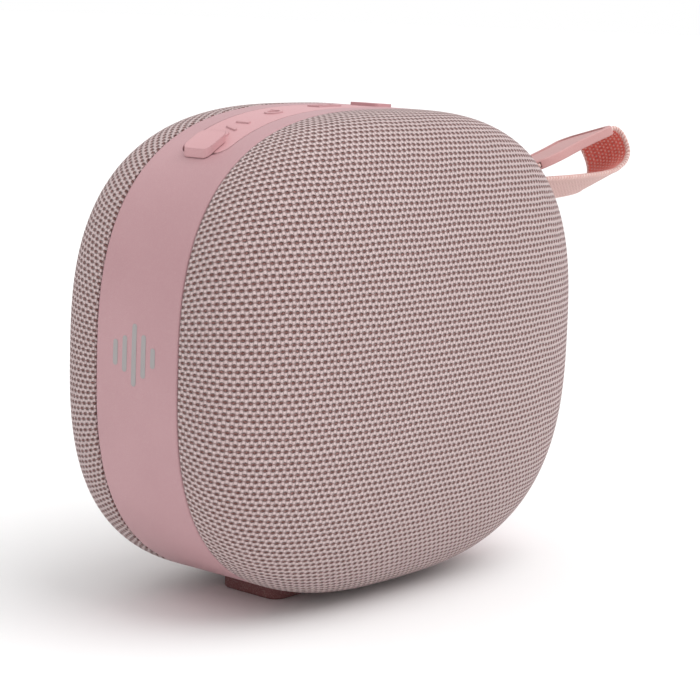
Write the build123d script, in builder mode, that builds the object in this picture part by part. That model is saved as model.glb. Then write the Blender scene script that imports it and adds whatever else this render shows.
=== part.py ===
"""Portable shower speaker: a soft rounded block with a moulded band round its middle,
a domed fabric grille on the front and on the rear, a sealed strip over the ports on top,
a rubber foot below and a webbing wrist strap at the upper right corner.

Frame: millimetres, +Z up, +X to the right and -Y towards the listener.
The origin is the centre of the foot's underside.
"""

import os
from math import atan2, copysign, cos, degrees, pi, radians, sin, sqrt, tan

from build123d import *

os.makedirs("parts", exist_ok=True)

# ---------------------------------------------------------------- overall size
body_width = 104.0  # along X
body_height = 89.0  # along Z, without the foot
dome_height = 21.0  # each fabric dome, along Y
band_depth = 20.0  # the moulded band between the domes, along Y
outline_power = 2.75  # superellipse exponent of the outline seen from the front
dome_rise_power = 2.74  # how late the dome turns over, away from the band
dome_shrink_power = 2.27  # how square the dome's shoulder is

# ---------------------------------------------------------------- walls and skins
band_wall = 3.0
band_edge_radius = 0.4
fabric_thickness = 0.8
skin_gap = 0.05  # between a fabric skin and its carrier
seam_gap = 0.35  # shadow line between band and fabric
grille_thickness = 1.8
grille_hole_radius = 2.0
grille_hole_pitch = 6.4
grille_peg_radius = 0.8  # pegs on the carrier's edge, glued into the band's edge
grille_peg_length = 2.5
grille_peg_count = 6
fit_gap = 0.15  # between fixed plastic parts that plug together
moving_gap = 0.3  # between parts that move past each other

# ---------------------------------------------------------------- foot
foot_length = 44.0
foot_width = 14.4
foot_drop = 1.4  # how far the foot stands below the band
foot_recess = 1.0  # how deep it is let into the band
foot_corner = 2.5
foot_edge_radius = 0.5

# ---------------------------------------------------------------- port strip on top
strip_left = -37.3
strip_hinge = 6.0  # X of the bend between the flap and its fixed root
strip_right = 24.0
strip_width = 11.0
strip_thickness = 1.4
strip_corner = 2.6
strip_floor_gap = 0.15
strip_lift_gap = 0.35  # extra room at the free end, which swings outward as it lifts
tab_length = 5.2
tab_width = 6.4
tab_overhang = 1.5
tab_rise = 1.3
pad_length = 5.0
pad_rise = 0.6
pad_gap = 0.4  # clears the flap when it stands open
legend_rise = 0.25
root_peg_radius = 1.5
root_peg_length = 3.2

# ---------------------------------------------------------------- ports under the strip
charge_x = -4.5
charge_width = 8.94
charge_depth = 3.26  # across the shell
charge_length = 7.35
charge_wall = 0.3
charge_window_gap = 0.35
slider_x = -29.5
slider_travel = 2.0
slider_knob = 1.5
slider_body_length = 8.6
slider_body_height = 3.4
reset_x = -18.5
reset_body = 3.6
reset_pin_radius = 0.6
reset_reach = 0.9
reset_travel = 0.25
reset_window_radius = 1.0

# ---------------------------------------------------------------- baffles and their screws
baffle_inset = 4.4  # outline of both baffles inside the body outline
baffle_wall = 2.0
baffle_plate = 2.0
baffle_front = 6.0  # plate's outer face beyond the band's edge
ledge_width = 5.0
ledge_thickness = 2.0
gasket_thickness = 0.8
boss_radius = 2.7
boss_length = 6.0
screw_shank_radius = 0.95
thread_gap = 0.02
screw_clear_radius = 1.2
screw_head_radius = 1.9
screw_head_height = 1.3
baffle_screw_bearings = (45.0, 135.0, 202.0, 338.0)  # round the outline, clear of the battery

# ---------------------------------------------------------------- driver
driver_flange_radius = 26.0
driver_flange_thickness = 1.2
driver_gasket_thickness = 0.5
driver_screw_circle = 24.2
driver_screw_count = 4
basket_mouth_radius = 21.4
basket_floor_radius = 15.0
basket_depth = 11.0
basket_wall = 1.2
basket_windows = 4
magnet_radius = 14.0
magnet_thickness = 6.0
top_plate_thickness = 2.5
yoke_thickness = 2.5
pole_radius = 5.9
coil_gap = 0.4
coil_wall = 0.5
coil_length = 9.0
cone_outer_radius = 17.0
cone_thickness = 0.5
cone_depth = 5.0
dust_cap_radius = 7.5
dust_cap_rise = 2.0
surround_outer_radius = 22.1
surround_thickness = 0.5
spider_thickness = 0.4
tag_width = 8.0
tag_height = 3.6
tag_thickness = 1.2
spider_height = 3.5  # above the basket's floor

# ---------------------------------------------------------------- passive radiator
radiator_flange_radius = 27.0
radiator_flange_thickness = 1.6
radiator_mouth_radius = 22.5
radiator_plate_radius = 17.5
radiator_plate_thickness = 2.4
radiator_screw_circle = 25.0
radiator_screw_count = 6

# ---------------------------------------------------------------- battery
cell_radius = 9.2
cell_length = 65.0
cell_height = -26.0  # above the body's centre
cradle_wall = 1.4
cradle_gap = 0.2

# ---------------------------------------------------------------- boards
board_thickness = 1.6
board_left = -33.0
board_right = 17.0
board_bottom = 20.5  # above the body's centre
board_inset = 5.0  # its arched top edge inside the body outline
board_screw_x = (-20.0, 6.0)
board_screw_height = 24.5
board_post_radius = 2.6

# ---------------------------------------------------------------- keys on the right flank
key_names = ("volume_up_button", "play_button", "volume_down_button", "pairing_button")
key_pitch = 10.0
key_radius = 3.7
key_proud = 0.6
key_face = 47.4  # X of the flat pad inside the band
key_mat_thickness = 0.8
key_mat_width = 12.0
key_board_thickness = 1.2
key_switch_size = 4.2
key_switch_height = 1.2
key_switch_gap = 0.7  # the mat's nibs stand in this gap
key_board_end = 3.0  # board beyond the middle of the last key
key_middle = -2.0  # the group's middle above the body's centre
key_mat_edge = 0.6  # the mat beyond the keys
key_rail = 1.2  # rails on the band that hold the key board

# ---------------------------------------------------------------- leads
lead_radius = 0.6
lead_spacing = 4.0
driver_lead_height = 5.5  # above the board's lower edge

# ---------------------------------------------------------------- strap
strap_angle = 32.5  # the anchor's bearing above +X, from the body's centre
bar_radius = 1.0
bar_depth = 1.6  # below the band's surface
pocket_width = 14.4  # along Y
pocket_length = 14.0  # along the band
pocket_depth = 4.8
pocket_wall = 1.5
webbing_width = 12.0
webbing_thickness = 1.0
bar_play = 0.15
grip_width = 14.6
grip_waist = 13.4
grip_thickness = 2.0
grip_rim = 1.0
grip_recess = 0.3
grip_slot_gap = 0.05
grip_end_taper = 2.2
grip_edge_radius = 0.35
# Middle line of the webbing: X, Y and Z from the bar, and its roll about X in degrees, rear edge
# down. Both ends of the webbing are moulded into the grip.
grip_near = (14.7, 0.7, 1.55, 17)  # the grip's end by the speaker
grip_far = (43.7, 2.0, 8.55, 17)
upper_run = [  # from the grip to the bar
    (9.2, 0.45, 1.6, 11),
    (3.7, 0.2, 1.6, 5),
]
lower_run = [  # from the bar to the bend
    (3.5, -0.1, -1.7, 3),
    (8.5, -0.4, -1.9, 11),
    (14.6, -0.9, -2.0, 26),
    (23.9, -1.5, -2.05, 29),
    (33.0, -1.9, -1.8, 29),
    (37.4, -2.0, -1.5, 29),
]
outer_bend = [  # round the bend to the grip
    (40.9, -1.9, -1.1, 29),
    (43.3, -1.7, -0.35, 29),
    (45.5, -1.3, 0.6, 28),
    (47.0, -0.8, 1.8, 26.5),
    (47.9, -0.3, 3.0, 25),
    (48.25, 0.3, 4.3, 24),
    (48.0, 1.0, 6.05, 22),
    (47.2, 1.6, 7.5, 20),
    (45.7, 1.95, 8.5, 18),
]
webbing_end_gap = 0.2  # between the webbing's ends, in the middle of the grip

# ---------------------------------------------------------------- derived sizes
half_width = body_width / 2
half_height = body_height / 2
band_half = band_depth / 2
mid_z = foot_drop + half_height  # height of the body's centre above the table
plate_face = band_half + baffle_front  # distance of each baffle's outer face from Y = 0
plate_back = plate_face - baffle_plate
strip_recess = strip_thickness + strip_floor_gap


def facing(side, distance):
    """A plane square to Y at the given distance, looking out at the front (-1) or the rear (+1)."""
    return Plane(origin=(0, side * distance, mid_z), x_dir=(-side, 0, 0), z_dir=(0, side, 0))


def outline_points(grow, scale=1.0, count=48):
    """Points round the speaker's outline, grown or shrunk all round and then scaled."""
    points = []
    for step in range(count):
        angle = 2 * pi * step / count
        across = copysign(abs(cos(angle)) ** (2 / outline_power), cos(angle))
        up = copysign(abs(sin(angle)) ** (2 / outline_power), sin(angle))
        points.append(((half_width + grow) * scale * across, (half_height + grow) * scale * up))
    return points


def outline_top(x, grow=0.0):
    """Height of the outline's upper side above the body's centre, at x."""
    share = min(abs(x) / (half_width + grow), 1.0) ** outline_power
    return (half_height + grow) * (1 - share) ** (1 / outline_power)


def outline_side(z, grow=0.0):
    """Distance of the outline's side from the middle, at height z above the body's centre."""
    share = min(abs(z) / (half_height + grow), 1.0) ** outline_power
    return (half_width + grow) * (1 - share) ** (1 / outline_power)


def outline_block(grow, y_low, y_high):
    """A solid block of the outline, from y_low to y_high."""
    with BuildPart() as block:
        with BuildSketch(facing(-1, -y_high)):
            with BuildLine():
                Spline(*outline_points(grow), periodic=True)
            make_face()
        extrude(amount=y_high - y_low)
    return block.part


def dome(side, shrink, start=seam_gap, steps=9):
    """A solid dome on the band's front or rear edge, shrunk on every side."""
    rise = dome_height - shrink - start
    sections = []
    for angle in [90 * step / steps for step in range(steps)] + [87.5]:
        height = rise * sin(radians(angle)) ** (2 / dome_rise_power)
        scale = cos(radians(angle)) ** (2 / dome_shrink_power)
        with BuildSketch(facing(side, band_half + start + height)) as section:
            with BuildLine():
                Spline(*outline_points(-shrink, scale), periodic=True)
            make_face()
        sections.append(section.sketch)
    return loft(sections=sections)


def column(x, z, radius, y_low, y_high):
    """A round column along Y at (x, z) from the body's centre."""
    with BuildPart() as post:
        with BuildSketch(facing(-1, -y_high)):
            with Locations((x, z)):
                Circle(radius)
        extrude(amount=y_high - y_low)
    return post.part


def top_prism(x_left, x_right, width, corner):
    """A tall upright prism with rounded corners, used to cut pieces out of the band's top."""
    with BuildPart() as prism:
        with BuildSketch(Plane.XY.offset(mid_z)):
            with Locations(((x_left + x_right) / 2, 0)):
                RectangleRounded(x_right - x_left, width, corner)
        extrude(amount=half_height * 1.5)
    return prism.part


def top_layer(prism, low, high):
    """The part of a prism that lies between two outlines on the band's top."""
    with BuildPart() as layer:
        add(prism)
        add(outline_block(high, -half_height, half_height), mode=Mode.INTERSECT)
        add(outline_block(low, -half_height, half_height), mode=Mode.SUBTRACT)
    return layer.part


def outline_places(inset, bearings):
    """Places a distance inside the outline, at the given bearings round it."""
    places = []
    for bearing in bearings:
        across, up = cos(radians(bearing)), sin(radians(bearing))
        places.append((
            (half_width - inset) * copysign(abs(across) ** (2 / outline_power), across),
            (half_height - inset) * copysign(abs(up) ** (2 / outline_power), up),
        ))
    return places


def circle_places(count, radius, first=45.0):
    """Places round the middle of a baffle."""
    turns = [radians(first + 360 * k / count) for k in range(count)]
    return [(radius * cos(turn), radius * sin(turn)) for turn in turns]


def screws(places, side, seat, length, tip_radius=screw_shank_radius):
    """A group of pan-head screws along Y, heads outward, seated at a distance from Y = 0."""
    with BuildPart() as group:
        for x, z in places:
            with BuildSketch(facing(side, seat)):
                with Locations((-side * x, z)):
                    Circle(screw_head_radius)
            extrude(amount=screw_head_height)
            with BuildSketch(facing(side, seat)):
                with Locations((-side * x, z)):
                    Circle(tip_radius)
            extrude(amount=-length)
            with BuildSketch(facing(side, seat + screw_head_height)):
                with Locations((-side * x, z)):
                    Rectangle(2.2, 0.5)
                    Rectangle(0.5, 2.2)
            extrude(amount=-0.5, mode=Mode.SUBTRACT)
    return group.part


def turned(side, profile):
    """A ring or disc turned about the driver's axis from (radius, distance from Y = 0) points."""
    with BuildPart() as ring:
        with BuildSketch(Plane(origin=(0, 0, mid_z), x_dir=(1, 0, 0), z_dir=(0, 0, 1))):
            with BuildLine():
                Polyline(*[(radius, side * distance) for radius, distance in profile], close=True)
            make_face()
        revolve(axis=Axis((0, 0, mid_z), (0, 1, 0)))
    return ring.part


def finish(piece, name):
    """Name a finished piece and write it out."""
    piece.label = name
    export_step(piece, f"parts/{name}.step")
    return piece


# ================================================================ strap anchor geometry
bearing_x = half_width * cos(radians(strap_angle)) ** (2 / outline_power)
anchor_x = outline_side(bearing_x * tan(radians(strap_angle)))
anchor_z = outline_top(anchor_x)
slope_x = (anchor_x / half_width) ** (outline_power - 1) / half_width
slope_z = (anchor_z / half_height) ** (outline_power - 1) / half_height
pocket_turn = degrees(atan2(slope_z, slope_x))  # the band's outward normal above +X
out_x, out_z = cos(radians(pocket_turn)), sin(radians(pocket_turn))
bar_x = anchor_x - bar_depth * out_x
bar_z = mid_z + anchor_z - bar_depth * out_z


def pocket_block(width, length, depth, proud):
    """A block square to the band at the strap anchor."""
    along = Plane(
        origin=(anchor_x + proud * out_x, 0, mid_z + anchor_z + proud * out_z),
        x_dir=(0, 1, 0),
        z_dir=(out_x, 0, out_z),
    )
    with BuildPart() as block:
        with BuildSketch(along):
            RectangleRounded(width, length, 1.2)
        extrude(amount=-(depth + proud))
    return block.part


def pocket_housing():
    """The strap pocket's walls, kept inside the outline."""
    with BuildPart() as housing:
        add(pocket_block(pocket_width + 2 * pocket_wall, pocket_length + 2 * pocket_wall,
                         pocket_depth + pocket_wall, 0.0))
        add(outline_block(-0.5, -band_half, band_half), mode=Mode.INTERSECT)
    return housing.part


def baffle_ledge(side):
    """The ledge inside one edge of the band, open over the battery cradle."""
    inner, outer = sorted((side * (band_half - ledge_thickness), side * band_half))
    with BuildPart() as ledge:
        add(outline_block(-band_wall + 0.5, inner, outer))
        add(outline_block(-band_wall - ledge_width, inner, outer), mode=Mode.SUBTRACT)
        with BuildSketch(Plane(origin=(0, 0, mid_z + cell_height), x_dir=(0, 1, 0),
                               z_dir=(1, 0, 0))):
            Circle(cradle_outer + moving_gap)
        extrude(amount=cradle_half + moving_gap, both=True, mode=Mode.SUBTRACT)
    return ledge.part


def key_plane(x, height=0.0):
    """The plane square to X at x, at a height above the body's centre, looking outward."""
    return Plane(origin=(x, 0, mid_z + height), x_dir=(0, 1, 0), z_dir=(1, 0, 0))


def key_rails():
    """Two rails inside the band, either side of the key board."""
    with BuildPart() as rails:
        for way in (-1, 1):
            with BuildSketch(key_plane(key_board_back, key_middle)):
                with Locations((way * (key_mat_width / 2 + fit_gap + key_rail / 2), 0)):
                    Rectangle(key_rail, key_board_length)
            extrude(amount=key_face - key_board_back + 1.0)
    return rails.part


def foot_block(gap):
    """The foot's upright block below the outline, grown sideways by a gap."""
    with BuildPart() as block:
        with BuildSketch(Plane.XY):
            RectangleRounded(foot_length + 2 * gap, foot_width + 2 * gap, foot_corner)
        extrude(amount=half_height)
        add(outline_block(skin_gap - foot_recess - gap, -half_height, half_height),
            mode=Mode.SUBTRACT)
    return block.part


# ================================================================ places shared by several parts
key_heights = [key_middle + key_pitch * (1.5 - k) for k in range(len(key_names))]
key_span = key_pitch * (len(key_names) - 1)
key_mat_length = key_span + 2 * (key_radius + key_mat_edge)
key_board_length = key_span + 2 * key_board_end
key_board_face = key_face - key_mat_thickness - key_switch_gap - key_switch_height
key_board_back = key_board_face - key_board_thickness
cradle_inner = cell_radius + cradle_gap
cradle_outer = cradle_inner + cradle_wall
cradle_half = cell_length / 2 + cradle_gap + cradle_wall
baffle_screw_places = outline_places(
    baffle_inset + baffle_wall + boss_radius, baffle_screw_bearings
)
grille_peg_places = [
    outline_points(-band_wall / 2, count=grille_peg_count)[k] for k in range(grille_peg_count)
]
root_peg_x = (strip_hinge + pad_length + strip_right) / 2
board_face = charge_depth / 2  # the boards' components put the port openings at Y = 0
strip_prism = top_prism(strip_left - strip_lift_gap, strip_right, strip_width, strip_corner)

# ================================================================ band
with BuildPart() as band_shell:
    add(outline_block(0, -band_half, band_half))
    fillet(band_shell.edges(), band_edge_radius)
    add(outline_block(-band_wall, -band_half, band_half), mode=Mode.SUBTRACT)
    for side in (-1, 1):
        add(baffle_ledge(side))
        ends = sorted((side * (band_half - boss_length), side * band_half))
        for x, z in baffle_screw_places:
            add(column(x, z, boss_radius, *ends))
            add(column(x, z, screw_shank_radius + thread_gap, *ends), mode=Mode.SUBTRACT)
        with BuildSketch(facing(side, band_half)):
            with Locations(*grille_peg_places):
                Circle(grille_peg_radius + skin_gap)
        extrude(amount=-grille_peg_length - skin_gap, mode=Mode.SUBTRACT)
    # strap pocket and the bar's holes
    add(pocket_housing())
    add(pocket_block(pocket_width, pocket_length, pocket_depth, 4.0), mode=Mode.SUBTRACT)
    with BuildSketch(Plane(origin=(bar_x, 0, bar_z), x_dir=(1, 0, 0), z_dir=(0, -1, 0))):
        Circle(bar_radius)
    extrude(amount=pocket_width / 2 + pocket_wall, both=True, mode=Mode.SUBTRACT)
    # recess of the port strip, and the openings in its floor
    add(top_layer(strip_prism, -strip_recess, 2.0), mode=Mode.SUBTRACT)
    with BuildSketch(Plane.XY.offset(mid_z)):
        with Locations((charge_x, 0)):
            SlotOverall(charge_width + 2 * charge_window_gap, charge_depth + 2 * charge_window_gap)
        with Locations((slider_x, 0)):
            SlotOverall(slider_travel + slider_knob + 2.4, slider_knob + 1.0)
        with Locations((reset_x, 0)):
            Circle(reset_window_radius)
        with Locations((root_peg_x, 0)):
            Circle(root_peg_radius + skin_gap)
    extrude(amount=half_height * 1.2, mode=Mode.SUBTRACT)
    # flat seat, holes and rails for the keys
    with BuildSketch(key_plane(key_board_back, key_middle)):
        Rectangle(key_mat_width + 2 * (fit_gap + key_rail), key_mat_length + 2 * fit_gap)
    extrude(amount=key_face - key_board_back, mode=Mode.SUBTRACT)
    add(key_rails())
    for height in key_heights:
        with BuildSketch(key_plane(key_face, height)):
            Circle(key_radius + moving_gap)
        extrude(amount=half_width, mode=Mode.SUBTRACT)
    add(foot_block(skin_gap), mode=Mode.SUBTRACT)
finish(band_shell.part, "band_shell")

# ================================================================ grilles and their fabric
hole_rows = int(half_height / (grille_hole_pitch * 0.87)) + 1
hole_columns = int(half_width / grille_hole_pitch) + 1
hole_places = []
for row in range(-hole_rows, hole_rows + 1):
    for step in range(-hole_columns, hole_columns + 1):
        hole_x = (step + 0.5 * (row % 2)) * grille_hole_pitch
        hole_z = row * grille_hole_pitch * sqrt(3) / 2
        reach = (abs(hole_x) / (half_width - 14)) ** 2 + (abs(hole_z) / (half_height - 14)) ** 2
        if reach < 1:
            hole_places.append((hole_x, hole_z))

for side, end in ((-1, "front"), (1, "rear")):
    carrier_shrink = fabric_thickness + skin_gap
    with BuildPart() as grille:
        add(dome(side, carrier_shrink, 0.0))
        add(dome(side, carrier_shrink + grille_thickness, 0.0), mode=Mode.SUBTRACT)
        with BuildSketch(facing(side, band_half)):
            with Locations(*grille_peg_places):
                Circle(grille_peg_radius)
        extrude(amount=-grille_peg_length)
        with BuildSketch(facing(side, band_half)):
            with Locations(*hole_places):
                Circle(grille_hole_radius)
        extrude(amount=dome_height * 1.2, mode=Mode.SUBTRACT)
    finish(grille.part, f"{end}_grille")

    with BuildPart() as fabric:
        add(dome(side, 0.0))
        add(dome(side, fabric_thickness, seam_gap), mode=Mode.SUBTRACT)
    finish(fabric.part, f"{end}_fabric")

# ================================================================ baffles, gaskets and screws
for side, end, mouth in (
    (-1, "front", basket_mouth_radius + basket_wall + fit_gap),
    (1, "rear", radiator_mouth_radius),
):
    rim = sorted((side * (band_half + gasket_thickness), side * plate_face))
    hollow = sorted((side * (band_half + gasket_thickness), side * plate_back))
    with BuildPart() as baffle:
        add(outline_block(-baffle_inset, *rim))
        add(outline_block(-baffle_inset - baffle_wall, *hollow), mode=Mode.SUBTRACT)
        for x, z in baffle_screw_places:
            add(column(x, z, boss_radius, *hollow))
            add(column(x, z, screw_clear_radius, *rim), mode=Mode.SUBTRACT)
        add(column(0, 0, mouth, *rim), mode=Mode.SUBTRACT)
        if end == "front":
            screw_places = circle_places(driver_screw_count, driver_screw_circle)
        else:
            screw_places = circle_places(radiator_screw_count, radiator_screw_circle, 0)
            for x in board_screw_x:
                post = (board_face + board_thickness, plate_back)
                add(column(x, board_screw_height, board_post_radius, *post))
                pilot = (board_face + board_thickness, board_face + board_thickness + 6)
                add(column(x, board_screw_height, screw_shank_radius + thread_gap, *pilot),
                    mode=Mode.SUBTRACT)
        for x, z in screw_places:
            add(column(x, z, screw_shank_radius + thread_gap, *rim), mode=Mode.SUBTRACT)
    finish(baffle.part, f"{end}_baffle")

    ring = sorted((side * band_half, side * (band_half + gasket_thickness)))
    with BuildPart() as gasket:
        add(outline_block(-baffle_inset, *ring))
        add(outline_block(-baffle_inset - baffle_wall, *ring), mode=Mode.SUBTRACT)
    finish(gasket.part, f"{end}_gasket")
    finish(screws(baffle_screw_places, side, plate_face, plate_face - band_half + boss_length - 1),
           f"{end}_baffle_screws")

# ================================================================ driver, on the front baffle
flange_seat = plate_face + driver_gasket_thickness
flange_top = flange_seat + driver_flange_thickness
floor_top = flange_top - basket_depth
floor_under = floor_top - basket_wall
coil_inner = pole_radius + coil_gap
coil_outer = coil_inner + coil_wall
plate_bore = coil_outer + coil_gap
magnet_front = floor_under - top_plate_thickness
magnet_back = magnet_front - magnet_thickness
basket_slope = (basket_mouth_radius - basket_floor_radius) / basket_depth
spider_seat = floor_top + spider_height
spider_wall = basket_floor_radius + basket_slope * spider_height
tag_seat = spider_seat - 1.4
tag_top = spider_wall + tag_height + 0.3
cone_edge = flange_top - 1.5  # top of the cone's outer edge
cone_neck = cone_edge - cone_depth

with BuildPart() as driver_gasket:
    add(column(0, 0, driver_flange_radius, -flange_seat, -plate_face))
    add(column(0, 0, basket_mouth_radius + basket_wall + fit_gap, -flange_seat, -plate_face),
        mode=Mode.SUBTRACT)
    for x, z in circle_places(driver_screw_count, driver_screw_circle):
        add(column(x, z, screw_clear_radius, -flange_seat, -plate_face), mode=Mode.SUBTRACT)
finish(driver_gasket.part, "driver_gasket")

with BuildPart() as driver_basket:
    add(turned(-1, [
        (plate_bore, floor_under),
        (basket_floor_radius + basket_wall, floor_under),
        (basket_mouth_radius + basket_wall, flange_seat),
        (driver_flange_radius, flange_seat),
        (driver_flange_radius, flange_top),
        (basket_mouth_radius, flange_top),
        (spider_wall, spider_seat),
        (spider_wall - 1.6, spider_seat),
        (spider_wall - 1.6, spider_seat - 1.0),
        (spider_wall - 0.6, spider_seat - 1.0),
        (basket_floor_radius, floor_top),
        (plate_bore, floor_top),
    ]))
    for x, z in circle_places(basket_windows, 1.0):
        turn = degrees(atan2(z, x))
        with BuildSketch(facing(-1, floor_top + 1.0)):
            with Locations(Location((0, 0), turn)):
                with Locations((spider_wall + 0.4 + 4, 0)):
                    Rectangle(8, basket_floor_radius * 0.8)
        extrude(amount=basket_depth - 3.0, mode=Mode.SUBTRACT)
    # tag strip for the leads
    with BuildSketch(facing(-1, tag_seat)):
        with Locations((0, spider_wall + tag_height / 2 + 0.3)):
            Rectangle(tag_width, tag_height)
    extrude(amount=tag_thickness)
    for x, z in circle_places(driver_screw_count, driver_screw_circle):
        add(column(x, z, screw_clear_radius, -flange_top, -flange_seat), mode=Mode.SUBTRACT)
finish(driver_basket.part, "driver_basket")

finish(screws(circle_places(driver_screw_count, driver_screw_circle), -1, flange_top,
              flange_top - plate_back), "driver_screws")
finish(turned(-1, [
    (plate_bore, floor_under), (magnet_radius, floor_under),
    (magnet_radius, magnet_front), (plate_bore, magnet_front),
]), "driver_top_plate")
finish(turned(-1, [
    (plate_bore + 0.4, magnet_front), (magnet_radius, magnet_front),
    (magnet_radius, magnet_back), (plate_bore + 0.4, magnet_back),
]), "driver_magnet")
finish(turned(-1, [
    (0, floor_under), (pole_radius, floor_under), (pole_radius, magnet_back),
    (magnet_radius, magnet_back), (magnet_radius, magnet_back - yoke_thickness),
    (0, magnet_back - yoke_thickness),
]), "driver_yoke")
finish(turned(-1, [
    (coil_inner, cone_neck + cone_thickness), (coil_outer, cone_neck + cone_thickness),
    (coil_outer, cone_neck + cone_thickness - coil_length),
    (coil_inner, cone_neck + cone_thickness - coil_length),
]), "driver_voice_coil")
finish(turned(-1, [
    (coil_outer, cone_neck + cone_thickness), (cone_outer_radius, cone_edge),
    (cone_outer_radius, cone_edge - cone_thickness), (coil_outer, cone_neck),
]), "driver_cone")


def arch(inner, outer, base_in, base_out, rise, thickness, first=0.0, steps=12):
    """Profile of an arched skin between two radii; first = 90 starts it at its crown."""
    middle, half = (inner + outer) / 2, (outer - inner) / 2
    low = []
    for step in range(steps + 1):
        turn = radians(first + (180 - first) * step / steps)
        radius = middle - half * cos(turn)
        share = (radius - inner) / (outer - inner)
        low.append((radius, base_in + (base_out - base_in) * share + rise * sin(turn)))
    return low + [(radius, height + thickness) for radius, height in reversed(low)]


cap_seat = cone_neck + cone_thickness + cone_depth * (dust_cap_radius - coil_outer) / (
    cone_outer_radius - coil_outer) + 0.02
finish(turned(-1, arch(-dust_cap_radius, dust_cap_radius, cap_seat, cap_seat, dust_cap_rise,
                       0.4, first=90.0)), "driver_dust_cap")
finish(turned(-1, arch(cone_outer_radius, surround_outer_radius, cone_edge - surround_thickness,
                       flange_top, 1.8, surround_thickness)), "driver_surround")
with BuildPart() as driver_spider:
    add(turned(-1, [
        (coil_outer, spider_seat), (spider_wall - 0.2, spider_seat),
        (spider_wall - 0.2, spider_seat + spider_thickness),
        (coil_outer, spider_seat + spider_thickness),
    ]))
finish(driver_spider.part, "driver_spider")

# ================================================================ passive radiator, on the rear
radiator_seat = plate_face + radiator_flange_thickness
with BuildPart() as radiator_frame:
    add(column(0, 0, radiator_flange_radius, plate_face, radiator_seat))
    add(column(0, 0, radiator_mouth_radius, plate_face, radiator_seat), mode=Mode.SUBTRACT)
    for x, z in circle_places(radiator_screw_count, radiator_screw_circle, 0):
        add(column(x, z, screw_clear_radius, plate_face, radiator_seat), mode=Mode.SUBTRACT)
finish(radiator_frame.part, "radiator_frame")
finish(screws(circle_places(radiator_screw_count, radiator_screw_circle, 0), 1, radiator_seat,
              radiator_seat - plate_back), "radiator_screws")
finish(column(0, 0, radiator_plate_radius, plate_face, plate_face + radiator_plate_thickness),
       "radiator_plate")
finish(turned(1, arch(radiator_plate_radius, radiator_mouth_radius,
                      plate_face + radiator_plate_thickness - surround_thickness,
                      radiator_seat - surround_thickness, 2.0, surround_thickness)),
       "radiator_surround")

# ================================================================ battery
with BuildPart() as battery_cell:
    with BuildSketch(Plane(origin=(0, 0, mid_z + cell_height), x_dir=(0, 1, 0), z_dir=(1, 0, 0))):
        Circle(cell_radius)
    extrude(amount=cell_length / 2, both=True)
    fillet(battery_cell.edges(), 0.6)
finish(battery_cell.part, "battery_cell")

with BuildPart() as battery_cradle:
    with BuildSketch(Plane(origin=(0, 0, mid_z + cell_height), x_dir=(0, 1, 0), z_dir=(1, 0, 0))):
        Circle(cradle_outer)
        with Locations((0, cradle_inner)):
            Rectangle(4 * cradle_inner, 2 * cradle_inner, mode=Mode.SUBTRACT)
    extrude(amount=cradle_half, both=True)
    with BuildSketch(Plane(origin=(0, 0, mid_z + cell_height), x_dir=(0, 1, 0), z_dir=(1, 0, 0))):
        Circle(cradle_inner)
    extrude(amount=cell_length / 2 + cradle_gap, both=True, mode=Mode.SUBTRACT)
    add(outline_block(-band_wall - fit_gap, -half_height, half_height), mode=Mode.INTERSECT)
finish(battery_cradle.part, "battery_cradle")

# ================================================================ main board and port parts
with BuildPart() as main_board:
    with BuildSketch(facing(-1, -board_face - board_thickness)):
        with BuildLine():
            Spline(*outline_points(-board_inset), periodic=True)
        make_face()
        with Locations(((board_left + board_right) / 2, board_bottom + half_height / 2)):
            Rectangle(board_right - board_left, half_height, mode=Mode.INTERSECT)
    extrude(amount=board_thickness)
    for x in board_screw_x:
        add(column(x, board_screw_height, screw_clear_radius, board_face,
                   board_face + board_thickness), mode=Mode.SUBTRACT)
finish(main_board.part, "main_board")
finish(screws([(x, board_screw_height) for x in board_screw_x], -1, -board_face,
              board_thickness + 5.5), "board_screws")

# chips, coils and sockets on the board's front face: X, Z, width, height, depth
board_parts = [
    (-11.0, 27.5, 5.0, 5.0, 0.9),
    (-11.0, 33.5, 4.0, 4.0, 0.9),
    (10.0, 32.0, 5.0, 4.0, 1.4),
    (3.5, 32.5, 3.0, 3.0, 2.4),
    (-27.0, 23.5, 6.0, 5.0, 3.6),
    (13.0, 23.0, 4.5, 5.0, 3.2),
]
with BuildPart() as board_components:
    for x, z, wide, high, deep in board_parts:
        with BuildSketch(facing(-1, -board_face)):
            with Locations((x, z)):
                Rectangle(wide, high)
        extrude(amount=deep)
finish(board_components.part, "board_components")

charge_mouth = outline_top(abs(charge_x) + charge_width / 2, -band_wall) - fit_gap
with BuildPart() as charge_port:
    with BuildSketch(Plane.XY.offset(mid_z + charge_mouth)):
        with Locations((charge_x, 0)):
            SlotOverall(charge_width, charge_depth)
            SlotOverall(charge_width - 2 * charge_wall, charge_depth - 2 * charge_wall,
                        mode=Mode.SUBTRACT)
    extrude(amount=-charge_length)
    with BuildSketch(Plane.XY.offset(mid_z + charge_mouth - charge_length)):
        with Locations((charge_x, 0)):
            SlotOverall(charge_width - charge_wall, charge_depth - charge_wall)
    extrude(amount=1.0)
    with BuildSketch(Plane.XY.offset(mid_z + charge_mouth - charge_length)):
        with Locations((charge_x, 0)):
            Rectangle(charge_width - 2.2, 0.7)
    extrude(amount=charge_length - 1.2)
finish(charge_port.part, "charge_port")

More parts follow.
